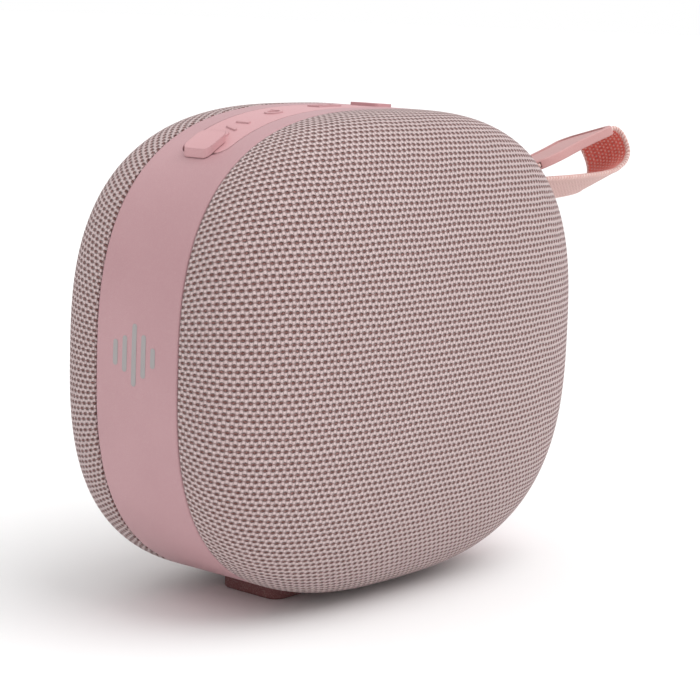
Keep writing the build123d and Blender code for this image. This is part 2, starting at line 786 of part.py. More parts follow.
slider_off = slider_x - slider_travel / 2
slider_seat = outline_top(abs(slider_x) + slider_body_length / 2, -band_wall) - fit_gap
slider_top = outline_top(abs(slider_off) + slider_knob, -strip_recess) - fit_gap
slider_slot = 1.0
with BuildPart() as power_switch:
    with BuildSketch(Plane.XY.offset(mid_z + slider_seat)):
        with Locations((slider_x, 0)):
            Rectangle(slider_body_length, charge_depth)
    extrude(amount=-slider_body_height)
    with BuildSketch(Plane.XY.offset(mid_z + slider_seat)):
        with Locations((slider_x, 0)):
            Rectangle(slider_travel + slider_knob + 2 * moving_gap, slider_knob + 0.2)
    extrude(amount=-slider_slot, mode=Mode.SUBTRACT)
finish(power_switch.part, "power_switch")
with BuildPart() as power_slider:
    with BuildSketch(Plane.XY.offset(mid_z + slider_seat - slider_slot + 0.1)):
        with Locations((slider_off, 0)):
            Rectangle(slider_knob, slider_knob)
    extrude(amount=slider_top - slider_seat + slider_slot - 0.1)
finish(power_slider.part, "power_slider")

reset_seat = outline_top(abs(reset_x) + reset_body / 2, -band_wall) - fit_gap
with BuildPart() as reset_switch:
    with BuildSketch(Plane.XY.offset(mid_z + reset_seat)):
        with Locations((reset_x, 0)):
            Rectangle(reset_body, charge_depth)
            Circle(reset_pin_radius + 0.08, mode=Mode.SUBTRACT)
    extrude(amount=-reset_body)
    with BuildSketch(Plane.XY.offset(mid_z + reset_seat - reset_body)):
        with Locations((reset_x, 0)):
            Rectangle(reset_body, charge_depth)
    extrude(amount=reset_body - 1.2)
finish(reset_switch.part, "reset_switch")
with BuildPart() as reset_button:
    with BuildSketch(Plane.XY.offset(mid_z + reset_seat - 1.2 + reset_travel + 0.1)):
        with Locations((reset_x, 0)):
            Circle(reset_pin_radius)
    extrude(amount=reset_reach + 1.2 - reset_travel - 0.1)
finish(reset_button.part, "reset_button")

# ================================================================ strip over the ports
flap_right = strip_hinge - moving_gap / 2
root_left = strip_hinge + moving_gap / 2
flap_low = -strip_thickness
inner_prism = top_prism(strip_left + fit_gap, strip_right - fit_gap, strip_width - 2 * fit_gap,
                        strip_corner - fit_gap)
left_half = top_prism(strip_left - 20, flap_right, strip_width * 2, 1.0)
right_half = top_prism(root_left, strip_right + 20, strip_width * 2, 1.0)


def raised(prism, rise):
    """A raised feature on the strip's outer face."""
    return top_layer(prism, -strip_thickness / 2, rise)


def sign(lines, holes=()):
    """An upright prism over a small raised sign, from (x, y, width, height, turn) bars and rings."""
    with BuildPart() as shape:
        with BuildSketch(Plane.XY.offset(mid_z)):
            for x, y, wide, high, turn in lines:
                with Locations(Location((x, y, 0), turn)):
                    Rectangle(wide, high)
            for x, y, radius in holes:
                with Locations((x, y)):
                    Circle(radius)
                    Circle(radius - 0.55, mode=Mode.SUBTRACT)
        extrude(amount=half_height * 1.5)
    return shape.part


with BuildPart() as port_cover:
    add(top_layer(inner_prism, flap_low, 0.0))
    add(left_half, mode=Mode.INTERSECT)
    tab_end = strip_left - tab_overhang
    add(top_layer(top_prism(tab_end, tab_end + tab_length, tab_width, 1.3), 0.1, tab_rise))
    add(raised(top_prism(strip_left + 0.8, tab_end + tab_length - 0.4, tab_width - 1.0, 0.6), 0.2))
    # off, slash, on; a turning arrow's ring; a battery outline
    add(raised(sign([(slider_x, 0, 0.5, 3.4, -20), (slider_x + 3.0, 0, 0.6, 3.0, 0)],
                    [(slider_x - 2.9, 0, 1.55)]), legend_rise))
    add(raised(sign([(reset_x + 1.6, 1.2, 1.5, 0.5, 90)], [(reset_x, 0, 1.7)]), legend_rise))
    add(raised(sign([(charge_x, 1.2, 6.0, 0.5, 0), (charge_x, -1.2, 6.0, 0.5, 0),
                     (charge_x - 2.9, 0, 0.5, 2.9, 0), (charge_x + 2.9, 0, 0.5, 2.9, 0),
                     (charge_x + 3.5, 0, 0.8, 1.2, 0), (charge_x, 0, 2.6, 0.5, 25)]), legend_rise))
    # plugs on the underside
    with BuildSketch(Plane.XY.offset(mid_z + outline_top(charge_x, -strip_recess) - 0.9)):
        with Locations((charge_x, 0)):
            SlotOverall(charge_width - 0.6, charge_depth - 0.3)
        with Locations((reset_x, 0)):
            Circle(reset_pin_radius, mode=Mode.ADD)
    extrude(amount=1.4)
finish(port_cover.part, "port_cover")

with BuildPart() as port_cover_root:
    add(top_layer(inner_prism, flap_low, 0.0))
    add(right_half, mode=Mode.INTERSECT)
    add(raised(top_prism(root_left + pad_gap, root_left + pad_gap + pad_length,
                         strip_width * 0.62, 0.8), pad_rise))
    peg_top = mid_z + outline_top(root_peg_x, -strip_thickness)
    with BuildSketch(Plane.XY.offset(peg_top + 0.4)):
        with Locations((root_peg_x, 0)):
            Circle(root_peg_radius)
    extrude(amount=-root_peg_length - 0.4)
finish(port_cover_root.part, "port_cover_root")

# ================================================================ keys
for name, height in zip(key_names, key_heights):
    with BuildPart() as key:
        with BuildSketch(key_plane(key_face, height)):
            Circle(key_radius)
        extrude(amount=half_width)
        add(outline_block(key_proud, -band_half, band_half), mode=Mode.INTERSECT)
        fillet(key.faces().sort_by(Axis.X)[-1].edges(), 0.35)
    finish(key.part, name)

with BuildPart() as key_mat:
    with BuildSketch(key_plane(key_face - key_mat_thickness, key_middle)):
        Rectangle(key_mat_width, key_mat_length)
    extrude(amount=key_mat_thickness)
finish(key_mat.part, "key_mat")
with BuildPart() as key_board:
    with BuildSketch(key_plane(key_board_back, key_middle)):
        Rectangle(key_mat_width, key_board_length)
    extrude(amount=key_board_thickness)
finish(key_board.part, "key_board")
with BuildPart() as key_switches:
    for height in key_heights:
        with BuildSketch(key_plane(key_board_face, height)):
            Rectangle(key_switch_size, key_switch_size)
        extrude(amount=key_switch_height)
finish(key_switches.part, "key_switches")

# ================================================================ strap
def bar_plane(x, y, z, roll, along):
    """A plane across the webbing: its X runs across the width, its normal along the webbing."""
    across = (0, cos(radians(roll)), -sin(radians(roll)))
    return Plane(origin=(bar_x + x, y, bar_z + z), x_dir=across, z_dir=along)


with BuildPart() as strap_bar:
    with BuildSketch(Plane(origin=(bar_x, 0, bar_z), x_dir=(1, 0, 0), z_dir=(0, -1, 0))):
        Circle(bar_radius)
    extrude(amount=pocket_width / 2 + pocket_wall, both=True)
finish(strap_bar.part, "strap_bar")

wrap = bar_radius + bar_play + webbing_thickness / 2
around_bar = [
    (wrap * cos(radians(turn)), 0, wrap * sin(radians(turn)), 0) for turn in range(90, 271, 30)
]
grip_run = Vector(*[grip_far[n] - grip_near[n] for n in range(3)])
grip_middle = [(grip_near[n] + grip_far[n]) / 2 for n in range(3)]
webbing_ends = []
for way in (-1, 1):
    shift = grip_run.normalized() * (way * webbing_end_gap / 2)
    webbing_ends.append((grip_middle[0] + shift.X, grip_middle[1] + shift.Y,
                         grip_middle[2] + shift.Z, grip_near[3]))
stations = [webbing_ends[0], grip_near, *upper_run, *around_bar, *lower_run, *outer_bend,
            grip_far, webbing_ends[1]]

with BuildPart() as strap_webbing:
    for k, station in enumerate(stations):
        before, after = stations[max(k - 1, 0)], stations[min(k + 1, len(stations) - 1)]
        along = [after[n] - before[n] for n in range(3)]
        with BuildSketch(bar_plane(*station, along)):
            Rectangle(webbing_width, webbing_thickness)
    loft(ruled=True)
finish(strap_webbing.part, "strap_webbing")

grip_plane = Plane(
    origin=(bar_x + grip_middle[0], grip_middle[1], bar_z + grip_middle[2]),
    x_dir=grip_run,
    z_dir=grip_run.cross(Vector(0, cos(radians(grip_near[3])), -sin(radians(grip_near[3])))),
)
grip_half = grip_run.length / 2


def grip_side(inset):
    """Points along one long side of the grip's waisted outline, drawn in by an inset."""
    end, corner = grip_half - inset, grip_width / 2 - grip_end_taper - inset
    return [
        (-end, corner),
        (-grip_half * 0.7, grip_width / 2 - inset),
        (0, grip_waist / 2 - inset),
        (grip_half * 0.7, grip_width / 2 - inset),
        (end, corner),
    ]


def grip_slab(inset, low, high):
    """A slab of the grip's outline between two heights over its middle plane."""
    side = grip_side(inset)
    with BuildPart() as slab:
        with BuildSketch(grip_plane.offset(low)):
            with BuildLine():
                Spline(*side, tangents=[(0.6, 1), (0.6, -1)])
                Spline(*[(x, -y) for x, y in side], tangents=[(0.6, -1), (0.6, 1)])
                Line(side[0], (side[0][0], -side[0][1]))
                Line(side[-1], (side[-1][0], -side[-1][1]))
            make_face()
        extrude(amount=high - low)
    return slab.part


with BuildPart() as strap_grip:
    add(grip_slab(0.0, -grip_thickness / 2, grip_thickness / 2))
    fillet(strap_grip.edges(), grip_edge_radius)
    add(grip_slab(grip_rim, grip_thickness / 2 - grip_recess, grip_thickness), mode=Mode.SUBTRACT)
    with BuildSketch(grip_plane):
        Rectangle(2 * grip_half + 2, webbing_width + 2 * grip_slot_gap)
    extrude(amount=webbing_thickness / 2 + grip_slot_gap, both=True, mode=Mode.SUBTRACT)
finish(strap_grip.part, "strap_grip")

# ================================================================ foot
with BuildPart() as foot:
    add(foot_block(0.0))
    fillet(foot.faces().sort_by(Axis.Z)[0].edges(), foot_edge_radius)
finish(foot.part, "foot")


# ================================================================ leads inside the housing
def lead(points, radii):
    """A round lead along straight runs joined by arcs."""
    with BuildPart() as wire:
        with BuildLine() as route:
            FilletPolyline(*points, radius=radii)
        with BuildSketch(Plane(origin=route.line @ 0, z_dir=route.line % 0)):
            Circle(lead_radius)
        sweep()
    return wire.part


with BuildPart() as driver_leads:
    for x in (-lead_spacing / 2, lead_spacing / 2):
        up = mid_z + board_bottom + driver_lead_height
        add(lead([(x, -tag_seat - tag_thickness / 2, mid_z + tag_top),
                  (x, -tag_seat - tag_thickness / 2, up), (x, board_face, up)], [3.0]))
finish(driver_leads.part, "driver_leads")

cell_top = mid_z + cell_height + cell_radius
socket_x, socket_z, _, socket_high, socket_deep = board_parts[4]
socket_under = mid_z + socket_z - socket_high / 2
with BuildPart() as battery_leads:
    for x in (socket_x - lead_spacing / 3, socket_x + lead_spacing / 3):
        y = board_face - socket_deep / 2
        add(lead([(x - 1, y, cell_top), (x - 1, y, cell_top + 9), (x - 6, y, cell_top + 19),
                  (x - 6, y, socket_under - 12), (x, y, socket_under - 6), (x, y, socket_under)],
                 [6.0, 6.0, 5.0, 4.0]))
finish(battery_leads.part, "battery_leads")

plug_x, plug_z, plug_wide, _, plug_deep = board_parts[5]
plug_side = plug_x + plug_wide / 2
with BuildPart() as key_lead:
    y = board_face - plug_deep / 2
    start = mid_z + key_middle + 12
    add(lead([(key_board_back, y, start), (key_board_back - 9, y, start),
              (plug_side + 8, y, mid_z + plug_z), (plug_side, y, mid_z + plug_z)], [6.0, 6.0]))
finish(key_lead.part, "key_lead")
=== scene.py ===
# %% [markdown]
# # A portable shower speaker
# A soft rounded block: a moulded band round the middle, a knitted cloth dome on the front and
# on the rear, a sealed strip over the ports on top, a rubber foot and a webbing wrist strap.
# The CAD model is the frame. It holds every size and every joint, and this script dresses it.

# %% Load the frame
from math import atan2, cos, hypot, pi, radians, sin

import bmesh
import bpy
from mathutils import Matrix, Vector
from mathutils.bvhtree import BVHTree


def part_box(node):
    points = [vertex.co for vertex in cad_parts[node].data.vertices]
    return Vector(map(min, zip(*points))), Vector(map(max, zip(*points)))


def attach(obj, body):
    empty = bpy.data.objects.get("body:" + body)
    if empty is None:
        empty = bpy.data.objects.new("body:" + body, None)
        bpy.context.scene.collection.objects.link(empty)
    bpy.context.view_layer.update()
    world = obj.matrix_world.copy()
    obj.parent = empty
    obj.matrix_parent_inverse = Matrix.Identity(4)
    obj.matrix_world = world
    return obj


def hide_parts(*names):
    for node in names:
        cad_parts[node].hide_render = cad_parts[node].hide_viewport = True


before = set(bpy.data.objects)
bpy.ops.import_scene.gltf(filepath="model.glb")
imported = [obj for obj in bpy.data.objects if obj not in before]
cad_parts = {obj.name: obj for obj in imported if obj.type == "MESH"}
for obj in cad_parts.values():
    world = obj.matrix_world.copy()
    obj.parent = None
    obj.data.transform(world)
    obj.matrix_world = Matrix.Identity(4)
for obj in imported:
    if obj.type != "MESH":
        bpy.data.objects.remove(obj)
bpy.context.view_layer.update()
MM = 0.001

# %% [markdown]
# ## Sizes that the pieces share
# The band gives the outline's width and height, and the front fabric gives how far a dome
# stands out. The outline and the dome's profile are superellipses, the curves that lie between
# an ellipse and a rectangle, so three exponents describe the whole soft block.

# %% Sizes from the frame
band_low, band_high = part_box("band_shell")
fabric_low, fabric_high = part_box("front_fabric")
half_width = (band_high[0] - band_low[0]) / 2 / MM
half_height = (fabric_high[2] - fabric_low[2]) / 2 / MM
centre_z = (fabric_high[2] + fabric_low[2]) / 2 / MM
dome_start = -fabric_high[1] / MM
dome_rise = (fabric_high[1] - fabric_low[1]) / MM
OUTLINE_POWER = 2.75
DOME_RISE_POWER = 2.74
DOME_SHRINK_POWER = 2.27
print("outline half sizes, mm:", round(half_width, 2), round(half_height, 2),
      "dome rise:", round(dome_rise, 2), "centre height:", round(centre_z, 2))

# %% [markdown]
# ## The camera
# A long lens about 0.4 m away looks at the left flank and the front, a little from above. The
# camera is turned a couple of degrees about its own view line, as a hand-held one is. The
# camera comes first, because everything else is judged through it.

# %% Camera
CAMERA_AZIMUTH, CAMERA_HEIGHT, CAMERA_ROLL = -49.54, 8.98, 1.94  # degrees
CAMERA_DISTANCE = 0.40124  # m from the middle of the body
LENS, SENSOR = 107.9, 36  # mm
SHIFT_X, SHIFT_Y = 0.0255, -0.0148
NEAREST, FARTHEST = 0.01, 20  # m
azimuth, height = radians(CAMERA_AZIMUTH), radians(CAMERA_HEIGHT)
back = Vector((sin(azimuth) * cos(height), -cos(azimuth) * cos(height), sin(height)))
right = Vector((cos(azimuth), sin(azimuth), 0))
up = back.cross(right)
roll = radians(CAMERA_ROLL)
rolled_right = cos(roll) * right + sin(roll) * up
rolled_up = cos(roll) * up - sin(roll) * right
camera_data = bpy.data.cameras.new("camera")
camera_data.lens, camera_data.sensor_width = LENS, SENSOR
camera_data.shift_x, camera_data.shift_y = SHIFT_X, SHIFT_Y
camera_data.clip_start, camera_data.clip_end = NEAREST, FARTHEST
camera = bpy.data.objects.new("camera", camera_data)
bpy.context.scene.collection.objects.link(camera)
turn = Matrix((rolled_right, rolled_up, back)).transposed().to_4x4()
camera.matrix_world = Matrix.Translation(
    Vector((0, 0, centre_z * MM)) + back * CAMERA_DISTANCE) @ turn
bpy.context.scene.camera = camera
print("camera at", [round(c, 3) for c in camera.matrix_world.translation])

# %% [markdown]
# ## Shader maths as Python
# A material is a graph of nodes, and long formulas are tiresome to wire by hand. `Signal`
# wraps one output socket. Its operators add Math nodes, so `1 - mask * 2` builds the graph.
# `Finish` owns one material and has a single method, `node`, for every other kind of node.

# %% Signals and finishes
class Signal:
    """One output socket, with operators that add Math nodes."""

    def __init__(self, finish, socket):
        self.finish, self.socket = finish, socket

    def math(self, operation, *values, clamp=False):
        return self.finish.node("Math", {"operation": operation, "use_clamp": clamp},
                                dict(enumerate(values)))

    def __add__(self, other):
        return self.math("ADD", self, other)

    def __sub__(self, other):
        return self.math("SUBTRACT", self, other)

    def __rsub__(self, other):
        return self.math("SUBTRACT", other, self)

    def __mul__(self, other):
        return self.math("MULTIPLY", self, other)

    def __truediv__(self, other):
        return self.math("DIVIDE", self, other)

    def __pow__(self, power):
        return self.math("POWER", self, power)

    def __abs__(self):
        return self.math("ABSOLUTE", self)

    __radd__ = __add__
    __rmul__ = __mul__

    def limited(self):
        """The value held between 0 and 1."""
        return self.math("ADD", self, 0.0, clamp=True)

    def ramp(self, low, high):
        """A smooth step: 0 below low and 1 above high."""
        return self.finish.node("MapRange", {"interpolation_type": "SMOOTHSTEP"},
                                {0: self, 1: low, 2: high})

    def near(self, pitch):
        """Signed distance to the nearest whole multiple of a pitch."""
        return self.math("SUBTRACT", self, self.math("SNAP", self + pitch / 2, pitch))

    def floor(self):
        return self.math("FLOOR", self)


class Finish:
    """One procedural material."""

    def __init__(self, name, slot):
        self.material = bpy.data.materials.new(name)
        self.material.use_nodes = True
        self.tree = self.material.node_tree
        self.tree.nodes.clear()
        self.shader = self.tree.nodes.new("ShaderNodeBsdfPrincipled")
        output = self.tree.nodes.new("ShaderNodeOutputMaterial")
        self.tree.links.new(self.shader.outputs[0], output.inputs[0])
        self.slot = slot

    def node(self, kind, settings=None, sockets=None, out=0):
        """Adds a node of any kind: its settings first, then its sockets."""
        made = self.tree.nodes.new("ShaderNode" + kind)
        for key, value in (settings or {}).items():
            setattr(made, key, value)
        for key, value in (sockets or {}).items():
            self.plug(made.inputs[key], value)
        return Signal(self, made.outputs[out])

    def plug(self, socket, value):
        if isinstance(value, Signal):
            self.tree.links.new(value.socket, socket)
        else:
            socket.default_value = value

    def blend(self, amount, first, second):
        """Mixes two colours."""
        return self.node("Mix", {"data_type": "RGBA"}, {0: amount, 6: first, 7: second}, 2)

    def part(self, vector, axis):
        """One axis of a vector."""
        return self.node("SeparateXYZ", None, {0: vector}, axis)

    def place(self):
        """The place on the object, in metres."""
        return self.node("TexCoord", out="Object")

    def noise(self, scale, detail=2.0, rough=0.5, place=None):
        return self.node("TexNoise", None, {
            "Vector": place or self.place(), "Scale": scale, "Detail": detail,
            "Roughness": rough}, "Fac")

    def bump(self, height_signal, distance, strength=1.0, normal=None):
        sockets = {"Height": height_signal, "Distance": distance, "Strength": strength}
        if normal:
            sockets["Normal"] = normal
        return self.node("Bump", None, sockets)

    def set(self, **sockets):
        """Fills the shader's own sockets: an underscore stands for a space."""
        for key, value in sockets.items():
            self.plug(self.shader.inputs[key.replace("_", " ")], value)


def linear(shown):
    """A shader's number for a 0-255 display value."""
    share = shown / 255
    return share / 12.92 if share <= 0.04045 else ((share + 0.055) / 1.055) ** 2.4


def paint(red, green, blue):
    """A colour from its 0-255 display values."""
    return (linear(red), linear(green), linear(blue), 1.0)


print("the band's tone as shader numbers:", [round(n, 3) for n in paint(190, 146, 151)])


# %% [markdown]
# ## Mesh helpers
# Each new piece starts as a bmesh, is shaped by operators, and becomes an object at the
# origin. Its place is in its vertices, as it is for the CAD nodes.

# %% Mesh helpers
def finished(bm, name, body, materials, smooth=True, replaced=()):
    """Turns a bmesh into a piece that rides on a body and wears the given finishes."""
    mesh = bpy.data.meshes.new(name)
    bm.to_mesh(mesh)
    bm.free()
    for face in mesh.polygons:
        face.use_smooth = smooth
    for finish in materials:
        mesh.materials.append(finish.material)
    piece = bpy.data.objects.new(name, mesh)
    bpy.context.scene.collection.objects.link(piece)
    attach(piece, body)
    if replaced:
        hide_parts(*replaced)
    print(name, "has", len(mesh.polygons), "faces")
    return piece


def reach(angle):
    """Distance from the middle to the outline in a direction, in mm."""
    across = abs(cos(angle)) / half_width
    rise = abs(sin(angle)) / half_height
    return (across ** OUTLINE_POWER + rise ** OUTLINE_POWER) ** (-1 / OUTLINE_POWER)


print("the outline's reach at 45 degrees, mm:", round(reach(pi / 4), 2))


# %% [markdown]
# ## The knitted cloth: its look
# The cloth is a warp knit. Rows of small holes run across, each row half a pitch off the next,
# and two plump loops of yarn fill the space between the holes. One formula on the cloth's own
# flat coordinates gives both the colour and the relief: ellipses for loops, ellipses for holes.
# The colour carries painted light on the loops' crowns and painted shade in the creases and holes.
# The coordinates are a UV map in millimetres, so the knit wraps round the dome as cloth does.

# %% Knit finish
HOLE_PITCH = 1.39  # mm along a row
ROW_PITCH = 1.096  # mm between rows
LOOP_WIDE, LOOP_HIGH = 0.40, 0.555  # mm, half sizes of one loop of yarn
HOLE_WIDE, HOLE_HIGH = 0.37, 0.36  # mm, half sizes of one hole
WANDER, WANDER_SCALE = 0.5, 0.16  # mm that the rows stray, and how slowly
PIT_SHARE = 0.9  # depth of a hole, as a share of a loop's height
LOOP_RELIEF = 0.00042  # m, height of a loop


def knit_finish(name):
    knit = Finish(name, "grille_fabric")
    flat = knit.node("UVMap", {"uv_map": "cloth"})
    wander = knit.node("TexNoise", None, {
        "Vector": flat, "Scale": WANDER_SCALE, "Detail": 1.0}, "Color")
    eased = knit.node("VectorMath", {"operation": "SCALE"}, {0: wander, "Scale": WANDER})
    moved = knit.node("VectorMath", {"operation": "ADD"}, {0: flat, 1: eased})
    u, v = knit.part(moved, "X"), knit.part(moved, "Y")
    # loops of yarn, in a plain grid of half a pitch by one row
    loop_u = u.near(HOLE_PITCH / 2) / LOOP_WIDE
    loop_v = (v + ROW_PITCH / 2).near(ROW_PITCH) / LOOP_HIGH
    dome_shape = (1 - loop_u * loop_u - loop_v * loop_v).limited() ** 0.5
    # holes, in two grids that are half a step apart each way
    first = (u.near(HOLE_PITCH) / HOLE_WIDE) ** 2 + (v.near(2 * ROW_PITCH) / HOLE_HIGH) ** 2
    other_u, other_v = u + HOLE_PITCH / 2, v + ROW_PITCH
    second = ((other_u.near(HOLE_PITCH) / HOLE_WIDE) ** 2
              + (other_v.near(2 * ROW_PITCH) / HOLE_HIGH) ** 2)
    nearest = first.math("MINIMUM", first, second)
    pit = 1 - nearest.ramp(0.25, 1.55)
    relief = dome_shape * (1 - pit) - pit * PIT_SHARE
    # colour: pale crowns with a painted highlight, rosy painted shade in the creases, brown
    # painted shade in the pits with a little yarn left in them
    column = (u / (HOLE_PITCH / 2) + 0.5).floor()
    row = ((v + ROW_PITCH / 2) / ROW_PITCH + 0.5).floor()
    cell = knit.node("CombineXYZ", None, {0: column, 1: row})
    chance = knit.node("TexWhiteNoise", {"noise_dimensions": "2D"}, {"Vector": cell}, "Value")
    fibre = knit.noise(9.0, 2.0, 0.6, flat)
    # painted light and shade on the loops: the crowns lit pale, the creases shaded rosy
    lit_crown = knit.blend(chance * 0.55 + fibre * 0.3, paint(218, 196, 195), paint(208, 182, 181))
    shaded_crease = knit.blend(fibre, paint(180, 140, 137), paint(163, 121, 118))
    yarn = knit.blend(dome_shape.ramp(0.12, 0.72), shaded_crease, lit_crown)
    # painted shade in the pits: brown, lighter where a little yarn shows in them
    pit_shade = knit.blend(knit.noise(3.1, 1.0, 0.5, flat).ramp(0.42, 0.66),
                        paint(104, 66, 61), paint(146, 106, 101))
    colour = knit.blend(pit.ramp(0.30, 0.92), yarn, pit_shade)
    knit.set(Base_Color=colour, Roughness=0.78 + pit * 0.15,
             Normal=knit.bump(relief, LOOP_RELIEF))
    knit.set(Sheen_Weight=0.25, Sheen_Roughness=0.5, Specular_IOR_Level=0.35)
    return knit


cloth_finish = knit_finish("knit_cloth")
print("knit cloth:", len(cloth_finish.tree.nodes), "nodes")

# %% [markdown]
# ## The knitted cloth: its shape
# The grille cloth is one sheet, pulled tight over a domed carrier and tucked in at the seam.
# A subdivided cube would do, but its poles fall in the corners. A disc of rings, spun from one
# straight line, closes in a single pole at the middle. Each vertex is then laid on the dome,
# and the arc from the pole to it becomes its place on the flat cloth.

# %% Cloth domes
RINGS, SPOKES = 84, 336
FINE_STEPS = 600  # steps along the profile, before it is evenly spaced
TUCK = [(1.0, 0.0), (0.9965, -0.12), (0.989, -0.17), (0.978, -0.12)]  # scale, mm past the rim


def dome_profile(steps):
    """(scale, rise in mm) from the pole to the rim, evenly spaced along the dome."""
    fine = []
    for k in range(FINE_STEPS + 1):
        turned = pi / 2 * (1 - k / FINE_STEPS)
        fine.append((max(cos(turned), 0.0) ** (2 / DOME_SHRINK_POWER),
                     dome_rise * sin(turned) ** (2 / DOME_RISE_POWER)))
    along = [0.0]
    size = (half_width + half_height) / 2
    for before, after in zip(fine, fine[1:]):
        along.append(along[-1] + hypot((after[0] - before[0]) * size, after[1] - before[1]))
    even, k = [], 0
    for step in range(steps + 1):
        goal = along[-1] * step / steps
        while k < len(along) - 2 and along[k + 1] < goal:
            k += 1
        share = (goal - along[k]) / (along[k + 1] - along[k])
        even.append(tuple(fine[k][n] + share * (fine[k + 1][n] - fine[k][n]) for n in (0, 1)))
    return even


profile = dome_profile(RINGS) + TUCK[1:]


def cloth_dome(name, side, replaced):
    bm = bmesh.new()
    ring_line = [bm.verts.new((k, 0, 0)) for k in range(len(profile))]
    edges = [bm.edges.new(pair) for pair in zip(ring_line, ring_line[1:])]
    bmesh.ops.spin(bm, geom=ring_line + edges, cent=(0, 0, 0), axis=(0, 1, 0), dvec=(0, 0, 0),
                   angle=2 * pi, steps=SPOKES, use_merge=True, use_duplicate=False)
    bmesh.ops.remove_doubles(bm, verts=bm.verts[:], dist=0.001)
    flat_place, arcs = {}, {}
    for vertex in bm.verts:
        ring = round(hypot(vertex.co.x, vertex.co.z))
        angle = atan2(vertex.co.z, vertex.co.x)
        spoke = round(angle / (2 * pi) * SPOKES)
        if spoke not in arcs:
            arc = [0.0]
            for before, after in zip(profile, profile[1:]):
                arc.append(arc[-1] + hypot((after[0] - before[0]) * reach(angle),
                                           after[1] - before[1]))
            arcs[spoke] = arc
        scale, rise = profile[ring]
        out = scale * reach(angle)
        vertex.co = Vector((out * cos(angle) * MM, side * (dome_start + rise) * MM,
                            (centre_z + out * sin(angle)) * MM))
        flat_place[vertex] = (arcs[spoke][ring] * cos(angle), arcs[spoke][ring] * sin(angle))
    flat = bm.loops.layers.uv.new("cloth")
    for face in bm.faces:
        for loop in face.loops:
            loop[flat].uv = flat_place[loop.vert]
    bmesh.ops.recalc_face_normals(bm, faces=bm.faces[:])
    if sum(face.normal.y * side for face in bm.faces) < 0:
        bmesh.ops.reverse_faces(bm, faces=bm.faces[:])
    flat_size = [2 * max(abs(place[n]) for place in flat_place.values()) * MM for n in (0, 1)]
    area = sum(face.calc_area() for face in bm.faces)
    piece = finished(bm, name, "root", [cloth_finish], replaced=[replaced])
    print(name, "flat size, m:", [round(s, 4) for s in flat_size], "area, m2:", round(area, 5))


cloth_dome("front_cloth", -1, "front_fabric")
cloth_dome("rear_cloth", 1, "rear_fabric")

# %% [markdown]
# ## The band and the other moulded parts
# The band is moulded in a satin plastic with a very fine spark-eroded grain. The CAD node
# already has the right shape, so it only needs a finish. A slow noise mottles the colour, and a
# fast one gives the grain, in the colour, the roughness and the relief. The keys, the silicone
# strip, the foot and the grip are moulded too, so one function makes all of their finishes.

# %% Moulded plastics
EDGE_RADIUS = 0.00025  # m, how far a moulded edge looks rounded
GRAIN_SCALE = 9000.0


def moulded(name, slot, main, other, rough=0.45, grain=0.00002, fine=GRAIN_SCALE):
    """A moulded plastic or rubber with faint mottling, a fine grain and softened edges."""
    finish = Finish(name, slot)
    cloud = finish.noise(38.0, 3.0, 0.6)
    speck = finish.noise(fine, 2.0, 0.6)
    tone = finish.blend(cloud.ramp(0.30, 0.72), main, other)
    colour = finish.blend(speck.ramp(0.45, 0.75) * 0.16, tone, paint(255, 240, 238))
    soft_edge = finish.node("Bevel", {"samples": 4}, {"Radius": EDGE_RADIUS})
    finish.set(Base_Color=colour, Roughness=rough + (speck - 0.5) * 0.12 + (cloud - 0.5) * 0.08,
               Normal=finish.bump(speck, grain, 0.5, soft_edge))
    return finish


plastics = [
    moulded("shell_satin", "shell_plastic", paint(190, 146, 151), paint(185, 141, 146), 0.42,
            0.000012),
    moulded("key_satin", "key_plastic", paint(197, 152, 157), paint(192, 146, 151), 0.40),
    moulded("cover_silicone", "soft_cover", paint(209, 160, 164), paint(204, 154, 158), 0.55,
            0.00003),
    # the foot's dark reddish-brown is partly the rubber's own tone and partly painted shade,
    # darkened for the shade under the body
    moulded("foot_rubber", "foot_rubber", paint(124, 72, 71), paint(112, 62, 62), 0.68,
            0.00005, 5200.0),
    moulded("grip_plastic", "grip_plastic", paint(198, 146, 144), paint(192, 139, 137), 0.42),
    # the carrier's dark reddish-brown is painted shade: in the gap at the seam it stands for the
    # shadow line
    moulded("grille_carrier_seam_shade", "grille_plastic", paint(150, 92, 88), paint(134, 80, 78), 0.6),
]
print("moulded finishes:", [finish.material.name for finish in plastics])

# %% [markdown]
# ## The parts that the housing hides
# Nothing inside shows at rest, but the cover opens over the ports, and the part may be seen
# in section. Metals are brushed by a stretched noise, rubbers and papers get a coarser one,
# and the board gets its tracks from a grid.

# %% Hidden finishes
def metal(name, slot, colour, other, rough=0.35, stretch=(1, 1, 12)):
    finish = Finish(name, slot)
    turned = finish.node("Mapping", None, {"Vector": finish.place(), "Scale": stretch})
    streaks = finish.noise(900.0, 3.0, 0.6, turned)
    wear = finish.noise(160.0, 2.0, 0.5)
    finish.set(Base_Color=finish.blend(wear.ramp(0.35, 0.7), colour, other),
               Roughness=rough + (streaks - 0.5) * 0.25, Metallic=1.0,
               Normal=finish.bump(streaks, 0.00002, 0.4))
    return finish


def matt(name, slot, colour, other, rough=0.8, scale=1400.0, relief=0.00004):
    finish = Finish(name, slot)
    tooth = finish.noise(scale, 3.0, 0.65)
    cloud = finish.noise(120.0, 2.0, 0.5)
    finish.set(Base_Color=finish.blend(cloud * 0.6 + tooth * 0.4, colour, other),
               Roughness=rough + (tooth - 0.5) * 0.15, Normal=finish.bump(tooth, relief, 0.7))
    return finish


LANE_PITCH, CROSSING_PITCH = 0.0011, 0.0019  # m between copper tracks


